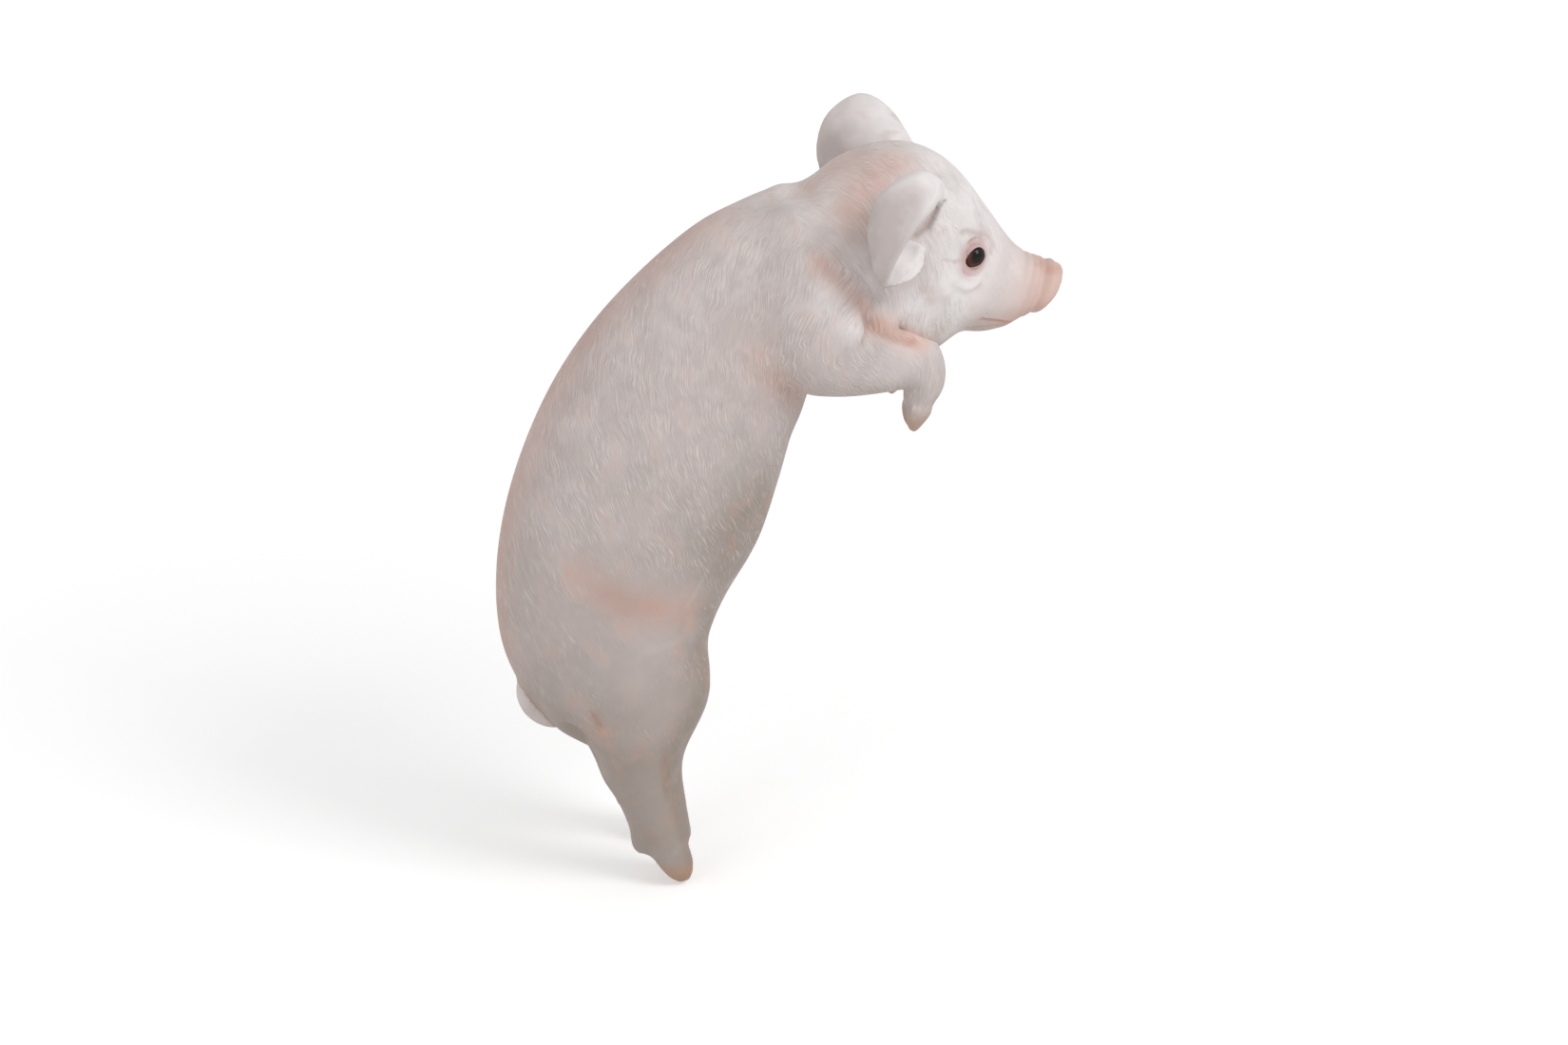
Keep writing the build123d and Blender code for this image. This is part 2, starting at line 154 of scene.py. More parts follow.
# Fore foot: its top and middle, and how it narrows, leans back and shortens towards its tip
PAW_TOP = 2.0
PAW_AHEAD = 33.0
PAW_OUT = 28.0
PAW_DROP = 26.0
PAW_NARROWING = 0.42
PAW_LEAN = 3.5
PAW_SHORTENING = 0.86

# Flesh between cheek, shoulder and arm: its middle on the left side and its size
JOWL_FLESH = np.array((8.0, 24.0, 34.0))
JOWL_FLESH_RADIUS = 11.0
JOWL_PLACE = np.array((10.0, 33.0, 36.0))
JOWL_SOFTENING = 17.0
JOWL_SMOOTHING = 0.6
JOWL_SMOOTHING_TIMES = 60
JOWL_EDGE = 0.4

# Where the skin is drawn off the castings: a place on the left side, how far round it, and the shift
NUDGES = [
    ((-66, 28, -125), 28, (-4.5, 0, 0)),
    ((-126, 28, -177), 10, (5, 0, 1)),
    ((-131, 28, -169), 11, (0, 0, 9)),
    ((-20, 20, -11), 13, (5, 0, -1)),
    ((-32, 0, 94), 19, (0.5, 0, -9)),
    ((-103, 28, -226), 8, (-5, 0, 0)),
]

# Snout: where it starts, the middle of its disc, the way it points and how the disc leans
SNOUT_START = 84
SNOUT_PLACE = np.array((95.6, 0.0, 35.8))
SNOUT_AXIS = np.array((0.934, 0.0, -0.358))
SNOUT_TILT_ABOVE = 0.2
SNOUT_TILT_BELOW = 0.34
SNOUT_TILT_RUN = (-14, -1)

# Rings round the snout: each one's place, width, depth, and how much deeper it is on top
SNOUT_RINGS = [
    (-0.8, 1.6, -0.8, 0.6),
    (-4.2, 1.8, 0.75, 0.3),
    (-8.0, 1.1, 0.35, 0.3),
    (-11.0, 1.2, 0.4, 0.6),
    (-15.0, 1.5, 0.4, 1.0),
]
RING_REACH = 26
RING_TOP_RUN = (-0.4, 0.9)
DISC_FACING_RUN = (0.6, 0.9)

# Lines and places on the pig's right side, by pixels of the photograph; the left side is their mirror image
NECK_CREASE = [
    (864, 279), (884, 303), (901, 318), (910, 331),
    (916, 340), (935, 347), (949, 356), (968, 362),
]
CHEEK_EDGE = [(906, 326), (914, 341), (925, 350), (940, 356), (957, 361), (973, 365)]
SHOULDER_EDGE = [(897, 318), (906, 327), (910, 337), (911, 349), (907, 360), (903, 372)]
ELBOW_CREASE = [(799, 378), (809, 393), (820, 406), (828, 412), (850, 418)]
NAPE_FOLD = [(845, 194), (852, 203), (858, 216), (862, 232)]
GROIN_FOLD = [(608, 606), (623, 616), (639, 627), (658, 636), (679, 641), (700, 644), (721, 644)]
BELLY_SEAM = [(762, 563), (754, 585), (744, 601), (734, 620), (723, 639)]
HOCK_CREASE = [(619, 747), (625, 756), (630, 766), (627, 773)]
SHANK_GROOVE = [(698, 780), (701, 800), (703, 825), (705, 850)]
LIP_LINE = [(1030, 336), (1043, 337), (1062, 339), (1077, 336), (1086, 331)]
JAW_LINE = [(1014, 345), (1034, 344), (1053, 342), (1060, 340)]
BROW_FOLD = [(1006, 248), (1017, 244), (1027, 246), (1038, 248), (1045, 257), (1045, 268)]
LID_GROOVE = [(1017, 259), (1022, 254), (1030, 250), (1039, 252), (1043, 261), (1042, 272)]
EYE_CORNER = [(988, 274), (998, 275), (1006, 276), (1014, 274)]
UNDER_LID = [(1012, 283), (1019, 290), (1030, 288), (1036, 279)]
EYE_BAG = [(999, 285), (1006, 298), (1017, 303), (1027, 298), (1036, 287)]
TEMPLE_GROOVES = [
    [(974, 236), (982, 243), (990, 254)],
    [(972, 243), (980, 251), (987, 262)],
    [(971, 251), (978, 259), (984, 269)],
    [(978, 230), (986, 236), (995, 246)],
]
EAR_SLIT = [(989, 210), (983, 224), (972, 241), (958, 251)]
EAR_FLAP = [(994, 207), (991, 216), (986, 230), (977, 246)]
EAR_LOBE = [(969, 256), (962, 274), (952, 290)]
CHEEK = (985, 338)
JOWL = (955, 330)
SHOULDER = (880, 345)
NECK_HOLLOW = (884, 302)
DEWCLAW = (962, 431)
FOREHEAD = (1025, 222)
NAPE = (850, 204)
FOREARM = (940, 395)
BELLY = (772, 560)
THIGH = (672, 700)
HOCK_SPOT = (637, 771)
SHOULDER_FRONT = (904, 344)
BEHIND_EAR = [(945, 172), (925, 182), (908, 200), (900, 222)]

# Soft swellings: each one's middle, radius and height
SWELLINGS = [
    (CHEEK, 13, 2.2),
    (JOWL, 14, 1.6),
    (SHOULDER, 18, 1.6),
    (NECK_HOLLOW, 12, 3.2),
    (DEWCLAW, 2.0, 1.4),
]

# Each fold's width, depth and the swelling on its left-hand side
FOLDS = [
    (NECK_CREASE, 5.0, 0.3, 0.3),
    (CHEEK_EDGE, 2.4, 1.2, 0.5),
    (SHOULDER_EDGE, 1.8, 1.0, -1.4),
    (ELBOW_CREASE, 5.0, 0.6, 0.3),
    (NAPE_FOLD, 4.0, 0.5, -0.5),
    (GROIN_FOLD, 8.0, 0.5, -0.3),
    (EAR_SLIT, 1.3, 1.2, 0.0),
    (EAR_FLAP, 1.4, -2.2, 0.0),
    (EAR_LOBE, 1.9, -0.8, 0.0),
    (HOCK_CREASE, 1.9, 1.5, -0.6),
    (SHANK_GROOVE, 2.4, 0.4, 0.0),
    (LIP_LINE, 0.9, 1.1, 0.4),
    (JAW_LINE, 0.9, 0.5, 0.2),
    (BROW_FOLD, 1.5, 0.8, 0.7),
    (EYE_CORNER, 1.0, 0.4, 0.2),
    (EYE_BAG, 2.2, -1.1, 0.0),
] + [(groove, 0.9, 0.25, 0.0) for groove in TEMPLE_GROOVES]
LID_FOLDS = [(LID_GROOVE, 0.9, 0.9, 0.3), (UNDER_LID, 0.8, 0.5, 0.0)]

# A fold's form in its own widths: its reach, the length of its ends, and its swelling's place and size
FOLD_REACH = 5.0
FOLD_END = 3.0
FOLD_SWELLING_ASIDE = 1.8
FOLD_SWELLING_WIDTH = 1.2
FOLD_SWELLING_REACH = 3.0
FOLD_SAME_FACE = 0.3

# The middle line of each casting (ahead, out, high), along which its coat lies
COAT_LINES = {
    "trunk": [(-145, 0, -230), (-116, 0, -117), (-88, 0, -34), (-51, 0, 26), (0, 0, 72), (60, 0, 110)],
    "head": [(-80, 0, 58), (-10, 0, 66), (30, 0, 62), (60, 0, 48), (120, 0, 28)],
    "ear": [(27, 27, 84), (17, 50, 89), (8, 65, 66)],
    "foreleg": [(-52, 16, 96), (-30, 26, 56), (-12, 32, 24), (24, 27, 12), (33, 26, -10), (36, 26, -40)],
    "hindleg": [(-106, 22, -50), (-104, 26, -110), (-101, 28, -160), (-83, 26, -260)],
    "tail": [(-150, 0, -143), (-151, 0, -157), (-137, 0, -170)],
}
COAT_LINE_POINTS = 40
COAT_GIRTHS = {"trunk": 45, "head": 36, "ear": 20, "foreleg": 16, "hindleg": 20, "tail": 6}
COAT_SLANTS = {"trunk": 0.8, "head": -1.5, "ear": 0.0, "foreleg": -0.8, "hindleg": 0.3, "tail": 0.0}

# Airbrushed paint and painted light: the middle or the line of each touch, its radius and its strength
# Painted highlights on cheek, forehead, jowl, forearm, shoulder front and nape, and painted light in the
# neck's hollow
PAINTED_HIGHLIGHT_SPOTS = [
    (CHEEK, 18, 0.5),
    (FOREHEAD, 24, 0.5),
    (JOWL, 14, 0.4),
    (FOREARM, 16, 0.2),
    (NECK_HOLLOW, 17, 0.8),
    (SHOULDER_FRONT, 8, 0.9),
    (NAPE, 18, 0.6),
]
# A painted highlight along the belly's mould seam
SEAM_HIGHLIGHT_LINES = [(BELLY_SEAM, 1.1, 0.3)]
PEACH_LINES = [
    (NECK_CREASE, 6, 0.7),
    (GROIN_FOLD, 9, 0.35),
    (HOCK_CREASE, 4, 0.2),
    (ELBOW_CREASE, 10, 0.25),
    (LIP_LINE, 2.5, 0.4),
]
PEACH_SPOTS = [(HOCK_SPOT, 3.5, 0.4)]
PEACH_BEHIND_EAR = [(BEHIND_EAR, 11, 0.5)]
# Less peach under the painted highlight on the shoulder's front
PEACH_BARE_AT_HIGHLIGHT = [(SHOULDER_FRONT, 6, 0.7)]
# A painted shadow on the belly
BELLY_SHADOW_SPOTS = [(BELLY, 28, 0.5)]
HAIR_BARE_LINES = [(GROIN_FOLD, 14, 0.6), (EYE_BAG, 5, 0.5)]
HAIR_BARE_SPOTS = [(THIGH, 36, 0.7)]

# Zones of paint and of painted highlight and shade: where each grows to its full strength (ahead, high or
# down, or by how far the skin faces a way), and that strength
PALE_LEAST = 0.05
FACE_AHEAD = (5, 45, 0.65)
FACE_HIGH = (8, 42)
# Painted highlight on faces turned up, and on the ears' faces turned up and ahead
UPWARD_HIGHLIGHT = (0.1, 0.9, 0.2)
EAR_UPWARD_HIGHLIGHT = (0.1, 0.8, 0.3)
EAR_FORWARD_HIGHLIGHT = (0.0, 0.7, 0.5)
# Painted light over the whole tail, lifting the shade where it lies on the rump
TAIL_PAINTED_LIGHT = 0.6
FACING_SPINE = (0.4, 0.9)
SPINE_END = (10, 40)
BRIDGE_PEACH = (-46, -24, 0.15)
DISC_PEACH = (-26, -2, 0.55)
# Painted shade: darker towards the bottom, on faces turned down and on the belly's front
RUMP_DOWN_SHADE = (90, 195, 0.5)
UNDERSIDE_SHADE = (0.0, 0.8, 0.35)
BODY_DOWN_SHADE = (0, 100, 0.3)
BELLY_FRONT_SHADE = (0.2, 0.9, 0.6)
BELLY_FRONT_SHADE_HEIGHTS = (-10, 60)
TAIL_SHADE_SHARE = 0.3
EAR_HAIR_SHARE = 0.1
SNOUT_BARE = (-30, -12, 0.85)
FACE_BARE = (40, 60, 0.4)
RUMP_BARE = (90, 190, 0.65)
HIND_HOOF_DOWN = (226, 236)
FORE_HOOF_DOWN = (7, 17)

# The peach stripe down the back, and the pink round the eyes by sizes of their slits
SPINE_UP = 0.4
SPINE_BACK = 0.9
SPINE_WIDTH = 16
SPINE_PEACH = 0.45
LID_PINK = 0.8
LID_PINK_RING = 1.2
LID_PINK_WIDTH = 0.8
LID_PINK_REACH = 14


def smooth_step(x, low, high):
    t = np.clip((x - low) / (high - low), 0, 1)
    return t * t * (3 - 2 * t)


def grown(x, low, high, strength):
    return strength * smooth_step(x, low, high)


def bell(x, width):
    return np.exp(-((x / width) ** 2))


def dot(a, b):
    return (a * b).sum(axis=-1)


def unit(vectors):
    return vectors / np.maximum(np.linalg.norm(vectors, axis=-1, keepdims=True), 1e-6)


def mirrored(place, side):
    return place * (1, side, 1)


def spline(rows, count):
    """Points along a smooth curve through the rows, evenly counted (Catmull-Rom)."""
    rows = np.asarray(rows, float)
    padded = np.concatenate([[2 * rows[0] - rows[1]], rows, [2 * rows[-1] - rows[-2]]])
    where = np.linspace(0, len(rows) - 1, count)
    index = np.minimum(where.astype(int), len(rows) - 2)
    t = (where - index).reshape((-1,) + (1,) * (rows.ndim - 1))
    a, b, c, d = (padded[index + k] for k in range(4))
    bend = (2 * a - 5 * b + 4 * c - d) * t**2 + (3 * b - a - 3 * c + d) * t**3
    return 0.5 * (2 * b + (c - a) * t + bend)


def points_of(mesh):
    """A mesh's points in millimetres."""
    flat = np.empty(len(mesh.vertices) * 3, np.float32)
    mesh.vertices.foreach_get("co", flat)
    return flat.reshape(-1, 3).astype(float) / MM


def edges_of(mesh):
    flat = np.empty(len(mesh.edges) * 2, np.int32)
    mesh.edges.foreach_get("vertices", flat)
    return flat.reshape(-1, 2)


def corners_of(mesh):
    """The point of every face corner, and the first corner and the corner count of every face."""
    corner = np.empty(len(mesh.loops), np.int32)
    mesh.loops.foreach_get("vertex_index", corner)
    start = np.empty(len(mesh.polygons), np.int32)
    mesh.polygons.foreach_get("loop_start", start)
    total = np.empty(len(mesh.polygons), np.int32)
    mesh.polygons.foreach_get("loop_total", total)
    return corner, start, total


def tree_of(mesh):
    """A search tree over a mesh, in millimetres."""
    corners = [list(polygon.vertices) for polygon in mesh.polygons]
    return BVHTree.FromPolygons([Vector(p) for p in points_of(mesh)], corners)


def write_attribute(mesh, name, values):
    mesh.attributes.new(name, "FLOAT", "POINT").data.foreach_set("value", values.astype(np.float32))


def new_object(name, mesh):
    obj = bpy.data.objects.new(name, mesh)
    bpy.context.scene.collection.objects.link(obj)
    return obj


def new_mesh(name, points, faces):
    mesh = bpy.data.meshes.new(name)
    mesh.from_pydata((np.asarray(points) * MM).tolist(), [], [list(map(int, face)) for face in faces])
    return mesh


def ball(around, down, radius):
    """A sphere's points and faces, sorted, since Blender gives them in another order in each run."""
    work = bmesh.new()
    bmesh.ops.create_uvsphere(work, u_segments=around, v_segments=down, radius=radius)
    work.verts.index_update()
    points = np.array([v.co for v in work.verts])
    order = np.lexsort(points.T)
    rank = np.argsort(order)
    faces = sorted([rank[v.index] for v in face.verts] for face in work.faces)
    work.free()
    return points[order], faces


def ear_mesh(side):
    """A cupped leaf with a rounded rim: its outer face goes through the net, its inner face a wall in."""
    outer = spline(EAR_NET, EAR_ALONG)
    outer = spline(outer.transpose(1, 0, 2), EAR_ACROSS).transpose(1, 0, 2)
    outer = mirrored(outer, side)
    normal = unit(np.cross(np.gradient(outer, axis=0), np.gradient(outer, axis=1))) * side
    t = np.linspace(-1, 1, EAR_ACROSS)
    s = np.linspace(0, 1, EAR_ALONG)
    wall = EAR_THICKNESS + (EAR_RIM_THICKNESS - EAR_THICKNESS) * np.abs(t)[None, :] ** 3
    wall = wall * (1 - EAR_TIP_THINNING * smooth_step(s, *EAR_TIP_RUN))[:, None]
    inner = outer - normal * wall[..., None]
    count = EAR_ALONG * EAR_ACROSS
    points = np.concatenate([outer.reshape(-1, 3), inner.reshape(-1, 3)])
    grid = np.arange(count).reshape(EAR_ALONG, EAR_ACROSS)
    faces = []
    for i in range(EAR_ALONG - 1):
        for j in range(EAR_ACROSS - 1):
            quad = (grid[i, j], grid[i, j + 1], grid[i + 1, j + 1], grid[i + 1, j])
            faces.append(quad)
            faces.append(tuple(count + k for k in quad[::-1]))
    ring = list(grid[0, :]) + list(grid[1:, -1]) + list(grid[-1, -2::-1]) + list(grid[-2:0:-1, 0])
    for a, b in zip(ring, ring[1:] + ring[:1]):
        faces.append((b, a, count + a, count + b))
    mesh = new_mesh("ear_form", points, faces)
    tidy = bmesh.new()
    tidy.from_mesh(mesh)
    bmesh.ops.recalc_face_normals(tidy, faces=tidy.faces)
    tidy.to_mesh(mesh)
    tidy.free()
    return mesh


def joined(meshes):
    """One mesh that holds copies of several."""
    points = []
    faces = []
    start = 0
    for mesh in meshes:
        points.append(points_of(mesh))
        faces += [[start + v for v in polygon.vertices] for polygon in mesh.polygons]
        start += len(mesh.vertices)
    return new_mesh("castings", np.concatenate(points), faces)


def flesh_mesh(side):
    """The flesh that fills the pocket between cheek, shoulder and arm."""
    points, faces = ball(32, 20, JOWL_FLESH_RADIUS)
    return new_mesh("flesh", points + mirrored(JOWL_FLESH, side), faces)


def largest_island(mesh):
    """Delete all of a mesh but its largest connected part."""
    work = bmesh.new()
    work.from_mesh(mesh)
    work.verts.ensure_lookup_table()
    seen = np.zeros(len(work.verts), bool)
    islands = []
    for vert in work.verts:
        if seen[vert.index]:
            continue
        seen[vert.index] = True
        island = [vert]
        for v in island:
            for edge in v.link_edges:
                other = edge.other_vert(v)
                if not seen[other.index]:
                    seen[other.index] = True
                    island.append(other)
        islands.append(island)
    islands.sort(key=len)
    for island in islands[:-1]:
        bmesh.ops.delete(work, geom=island, context="VERTS")
    work.to_mesh(mesh)
    work.free()


def voxelled(mesh):
    """The outer skin of a mesh made of closed forms, as one even net of quads."""
    obj = new_object("voxels", mesh)
    remesh = obj.modifiers.new("voxels", "REMESH")
    remesh.mode = "VOXEL"
    remesh.voxel_size = VOXEL * MM
    graph = bpy.context.evaluated_depsgraph_get()
    net = bpy.data.meshes.new_from_object(obj.evaluated_get(graph))
    bpy.data.objects.remove(obj)
    largest_island(net)
    return net


def averaged(values, edges, times, weight=None):
    """Values passed along the edges, each point taking its neighbours' mean, as many times as asked."""
    count = len(values)
    degree = np.maximum(np.bincount(edges.ravel(), minlength=count), 1)
    for _ in range(times):
        total = np.empty_like(values)
        for k in range(values.shape[1]):
            column = values[:, k]
            total[:, k] = np.bincount(edges[:, 0], column[edges[:, 1]], count)
            total[:, k] += np.bincount(edges[:, 1], column[edges[:, 0]], count)
        mean = total / degree[:, None]
        values = mean if weight is None else values + (mean - values) * weight[:, None]
    return values


def beside(points, path):
    """For each point: how far it is from a path, the nearest place there, its step, and how far along."""
    steps = path[1:] - path[:-1]
    lengths = np.maximum(np.linalg.norm(steps, axis=1), 1e-6)
    ways = steps / lengths[:, None]
    t = np.einsum("psk,sk->ps", points[:, None] - path[None, :-1], ways)
    t = np.clip(t, 0, lengths)
    nearest = path[None, :-1] + t[..., None] * ways
    apart = np.linalg.norm(points[:, None] - nearest, axis=2)
    best = apart.argmin(axis=1)
    rows = np.arange(len(points))
    starts = np.concatenate([[0], np.cumsum(lengths)[:-1]])
    return apart[rows, best], nearest[rows, best], best, starts[best] + t[rows, best]


def within(points, path, reach):
    """The points in the box round a path."""
    return np.where(np.all((points > path.min(0) - reach) & (points < path.max(0) + reach), axis=1))[0]


def photo_ray(pixel):
    """The direction in which the camera sees a pixel of the photograph."""
    ahead = unit(CAMERA_TARGET - CAMERA_PLACE)
    right = unit(np.cross(ahead, (0, 0, 1)))
    up = np.cross(right, ahead)
    focal = CAMERA_LENS / SENSOR_WIDTH * PHOTO_WIDTH
    aside = (pixel[0] - PHOTO_WIDTH / 2) / focal
    above = (PHOTO_HEIGHT / 2 - pixel[1]) / focal
    return unit(ahead + right * aside + up * above)


def eye_frame(side):
    """The way an eye looks, and the long and short directions of its slit."""
    gaze = unit(mirrored(EYE_GAZE, side))
    long_way = unit(EYE_SLIT - (EYE_SLIT @ gaze) * gaze)
    return gaze, long_way, np.cross(gaze, long_way)


class Skin:
    """The whole skin while it is sculpted: its net, which casting owns each point, and the painted shade in
    its folds, rings and the tail's seam.
    """

    def __init__(self, forms):
        self.names = list(forms)
        self.mesh = voxelled(joined(list(forms.values())))
        self.points = points_of(self.mesh)
        self.edges = edges_of(self.mesh)
        gaps = np.stack([self.gap(forms[name]) for name in self.names], axis=1)
        self.owner = gaps.argmin(axis=1)
        self.blend(gaps)

    def gap(self, form):
        """How far each point is from a form's surface, up to a reach."""
        find = tree_of(form).find_nearest
        far = np.full(len(self.points), REACH)
        for i in within(self.points, points_of(form), REACH):
            hit = find(Vector(self.points[i]), REACH)
            if hit[3] is not None:
                far[i] = hit[3]
        return far

    def blend(self, gaps):
        """Fill the angles between castings with fillets, then smooth."""
        fill = np.zeros(len(self.points))
        near_join = np.zeros(len(self.points))
        for (first, second), width in BLENDS.items():
            a = gaps[:, self.names.index(first)]
            b = gaps[:, self.names.index(second)]
            apart = np.maximum(a, b)
            inside = np.minimum(a, b) < BLEND_SKIN
            fill = np.maximum(fill, inside * np.maximum(width - apart, 0) ** 2 / (4 * width))
            near_join = np.maximum(near_join, inside * np.clip(1 - apart / width, 0, 1))
        soft_normals = unit(averaged(self.normals(), self.edges, NORMAL_SMOOTHING_TIMES))
        self.points = self.points + soft_normals * fill[:, None]
        weight = np.where(self.owned_by("trunk", "head"), BODY_SMOOTHING, LEG_SMOOTHING)
        weight[self.owned_by("ear_right", "ear_left")] = EAR_SMOOTHING
        weight = np.maximum(weight, JOIN_SMOOTHING * near_join)
        weight[self.points[:, 0] > SNOUT_START] = SNOUT_SMOOTHING
        # Painted shade along the seam between tail and trunk
        tail = np.maximum(gaps[:, self.names.index("trunk")], gaps[:, self.names.index("tail")])
        self.crease_shade = TAIL_SEAM_SHADE * bell(tail, TAIL_SEAM_SHADE_WIDTH)
        self.place(averaged(self.points, self.edges, SMOOTHING_TIMES, weight))

    def owned_by(self, *names):
        return np.isin(self.owner, [self.names.index(name) for name in names])

    def normals(self):
        flat = np.empty(len(self.mesh.vertices) * 3, np.float32)
        self.mesh.vertex_normals.foreach_get("vector", flat)
        return flat.reshape(-1, 3).astype(float)

    def place(self, points):
        self.points = points
        self.mesh.vertices.foreach_set("co", (points * MM).astype(np.float32).ravel())
        self.mesh.update()

    def near_eyes(self, reach):
        close = np.zeros(len(self.points), bool)
        for side in SIDES.values():
            close |= np.linalg.norm(self.points - mirrored(EYE_PLACE, side), axis=1) < reach
        return close

    def relax(self, inside, times, strength=1.0):
        """Let the points inside a patch settle between their neighbours."""
        local = self.edges[inside[self.edges].any(axis=1)]
        used, local = np.unique(local, return_inverse=True)
        points = self.points.copy()
        points[used] = averaged(points[used], local.reshape(-1, 2), times, inside[used] * strength)
        self.place(points)

    def passed_on(self, values):
        """Give the points that a refinement added the value of a neighbour."""
        count = len(self.points)
        known = np.arange(count) < len(values)
        values = np.concatenate([values, np.zeros(count - len(values), values.dtype)])
        while not known.all():
            for a, b in ((0, 1), (1, 0)):
                passing = known[self.edges[:, a]] & ~known[self.edges[:, b]]
                values[self.edges[passing, b]] = values[self.edges[passing, a]]
                known[self.edges[passing, b]] = True
        return values

    def refine(self, chosen, smoothing):
        """Halve the net's cells in a region and smooth the halves."""
        work = bmesh.new()
        work.from_mesh(self.mesh)
        edges = [edge for edge in work.edges if all(chosen[vert.index] for vert in edge.verts)]
        bmesh.ops.subdivide_edges(work, edges=edges, cuts=1, use_grid_fill=True)
        work.to_mesh(self.mesh)
        work.free()
        self.points = points_of(self.mesh)
        self.edges = edges_of(self.mesh)
        self.owner = self.passed_on(self.owner)
        self.crease_shade = self.passed_on(self.crease_shade)
        self.relax(self.passed_on(chosen), smoothing, REFINED_SMOOTHING)

    def look(self):
        """Fix the surface on which the photograph's pixels are found."""
        self.tree = tree_of(self.mesh)

    def seen(self, pixels):
        """The places on the skin that a line of pixels shows, with the skin's normal there."""
        line = spline(pixels, LINE_DENSITY * len(pixels)) if len(pixels) > 1 else pixels
        hits = [self.tree.ray_cast(Vector(CAMERA_PLACE), Vector(photo_ray(pixel))) for pixel in line]
        hits = [hit for hit in hits if hit[0] is not None]
        return np.array([hit[0] for hit in hits]), np.array([hit[1] for hit in hits])

    def carve(self, pixels, width, depth, bulge):
        """A groove along a line with a swelling on its left-hand side, on both sides of the pig."""
        places, facing = self.seen(pixels)
        points = self.points.copy()
        normals = self.normals()
        for mirror in (1, -1):
            path = mirrored(places, mirror)
            near = within(points, path, FOLD_REACH * width)
            apart, nearest, best, along = beside(points[near], path)
            whole = np.linalg.norm(path[1:] - path[:-1], axis=1).sum()
            step = unit(path[best + 1] - path[best])
            left = dot(points[near] - nearest, np.cross(normals[near], step)) * mirror
            same_face = dot(normals[near], mirrored(facing, mirror)[best]) > FOLD_SAME_FACE
            end = FOLD_END * width
            fade = smooth_step(along, 0, end) * smooth_step(whole - along, 0, end) * same_face
            groove = bell(apart, width) * fade
            swelling = bell(left - FOLD_SWELLING_ASIDE * width, FOLD_SWELLING_WIDTH * width)
            swelling = swelling * bell(apart, FOLD_SWELLING_REACH * width) * fade
            points[near] += normals[near] * (bulge * swelling - depth * groove)[:, None]
            # The groove's depth also sets the painted shade in it
            self.crease_shade[near] = np.maximum(self.crease_shade[near], np.clip(depth, 0, 1) * groove)
        self.place(points)

    def swell(self, pixel, radius, height):
        """A soft swelling on both sides of the pig."""
        self.place(self.points + self.normals() * (height * self.near_spot(pixel, radius))[:, None])

    def ring(self, along, width, depth, more_on_top):
        """A groove right round the snout, evenly or deeper on top."""
        normals = self.normals()
        offset = self.points - SNOUT_PLACE
        place = offset @ SNOUT_AXIS
        radial = offset - place[:, None] * SNOUT_AXIS
        radius = np.linalg.norm(radial, axis=1)
        top = smooth_step(radial[:, 2] / np.maximum(radius, 1e-6), *RING_TOP_RUN)
        on_side = 1 - smooth_step(np.abs(normals @ SNOUT_AXIS), *DISC_FACING_RUN)
        on_side = on_side * (radius < RING_REACH)
        groove = bell(place - along, width) * on_side * (1 - more_on_top + more_on_top * top)
        self.place(self.points - normals * (depth * groove)[:, None])
        # The ring's depth also sets the painted shade in it
        self.crease_shade = np.maximum(self.crease_shade, min(depth, 1) * groove)

    def nudge(self, place, radius, shift):
        """Move the skin near a place, and near its mirror image."""
        amount = self.near_place(np.array(place), radius)
        self.place(self.points + amount[:, None] * np.array(shift))

    def tilt_snout(self):
        """Lean the snout's disc forward at its top and back below."""
        along = (self.points - SNOUT_PLACE) @ SNOUT_AXIS
        above = self.points[:, 2] - SNOUT_PLACE[2]
        tilt = np.where(above > 0, SNOUT_TILT_ABOVE, SNOUT_TILT_BELOW)
        lean = above * tilt * smooth_step(along, *SNOUT_TILT_RUN)
        self.place(self.points + lean[:, None] * SNOUT_AXIS)

    def slim_fore_feet(self):
        """Draw the fore feet to a narrower tip that points back."""
        points = self.points.copy()
        foot = self.owned_by("foreleg_right", "foreleg_left") & (points[:, 2] < PAW_TOP)
        ahead, out, high = points[foot].T
        down = smooth_step(PAW_TOP - high, 0, PAW_DROP)
        narrow = 1 - PAW_NARROWING * down**2
        side = np.sign(out)
        points[foot, 0] = PAW_AHEAD - PAW_LEAN * down**2 + (ahead - PAW_AHEAD) * narrow
        points[foot, 1] = side * (PAW_OUT + (np.abs(out) - PAW_OUT) * narrow)
        points[foot, 2] = PAW_TOP - (PAW_TOP - high) * PAW_SHORTENING
        self.place(points)

    def lid(self, side):
        """The skin round an eye drawn over the ball as thick-edged lids, and sunk behind it inside them."""
        gaze, long_way, short_way = eye_frame(side)
        offset = self.points - mirrored(EYE_PLACE, side)
        height = offset @ gaze
        a = offset @ long_way + EYE_CORNER_SHIFT
        b = offset @ short_way
        radius = np.hypot(offset @ long_way, b)
        ring = np.hypot(a / EYE_HALF_LENGTH, b / EYE_HALF_WIDTH)
        ball = np.sqrt(np.maximum(EYE_RADIUS**2 - radius**2, 0))
        over = ball + LID_THICKNESS * (1 - smooth_step(ring, *LID_EDGE_RUN))
        drawn = height + np.maximum(over - height, 0) * (1 - smooth_step(ring, *LID_RUN))
        target = np.where(ring < 1, ball - SOCKET_DEPTH, drawn)
        close = (radius < LID_REACH) & (height > LID_BEHIND)
        self.place(self.points + np.where(close, target - height, 0)[:, None] * gaze)

